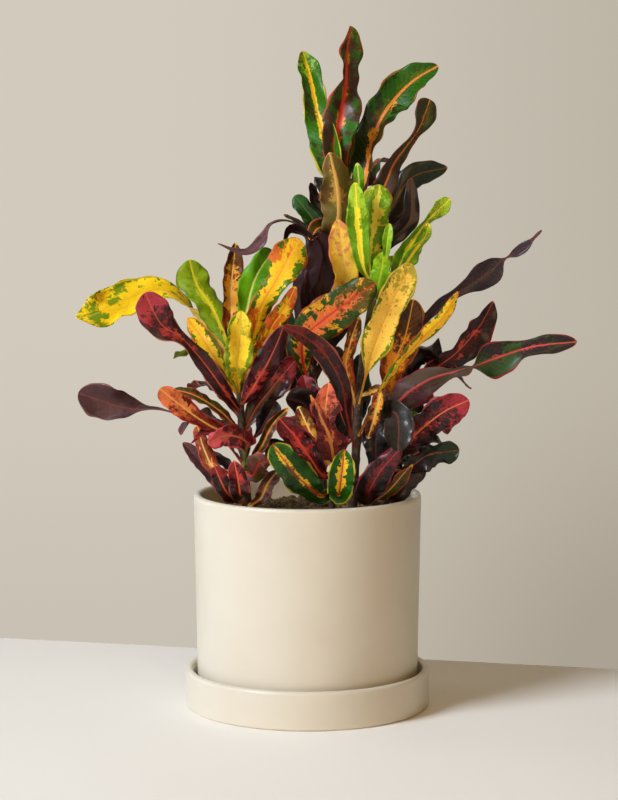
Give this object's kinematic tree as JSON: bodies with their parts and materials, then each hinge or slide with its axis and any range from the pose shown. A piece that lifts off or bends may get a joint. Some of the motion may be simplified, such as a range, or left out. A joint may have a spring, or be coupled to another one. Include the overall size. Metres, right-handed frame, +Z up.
{
  "type": "potted croton",
  "caption": "Bushy croton with long twisted, variegated leaves on woody stems, growing in soil in a plain cylindrical ceramic pot on a matching saucer.",
  "frame": {"origin": "middle of the saucer's flat underside, on the surface that it stands on", "axes": "+Z up; the side seen in the picture faces -Y; +X is to the right as seen from there"},
  "size_m": [0.4905, 0.2448, 0.6756],
  "materials": {
    "cream_ceramic": "satin glaze",
    "peat_soil": "matt, crumbly",
    "gold_foliage": "waxy",
    "rose_foliage": "waxy",
    "dark_foliage": "waxy",
    "lime_foliage": "waxy",
    "maroon_foliage": "waxy",
    "flame_foliage": "waxy"
  },
  "bodies": {
    "root": {"saucer": "cream_ceramic", "pot": "cream_ceramic", "soil": "peat_soil", "left_shoot": "gold_foliage", "low_shoot": "rose_foliage", "tall_shoot": "dark_foliage", "lime_shoot": "lime_foliage", "right_shoot": "maroon_foliage", "front_shoot": "flame_foliage"}
  },
  "joints": []
}
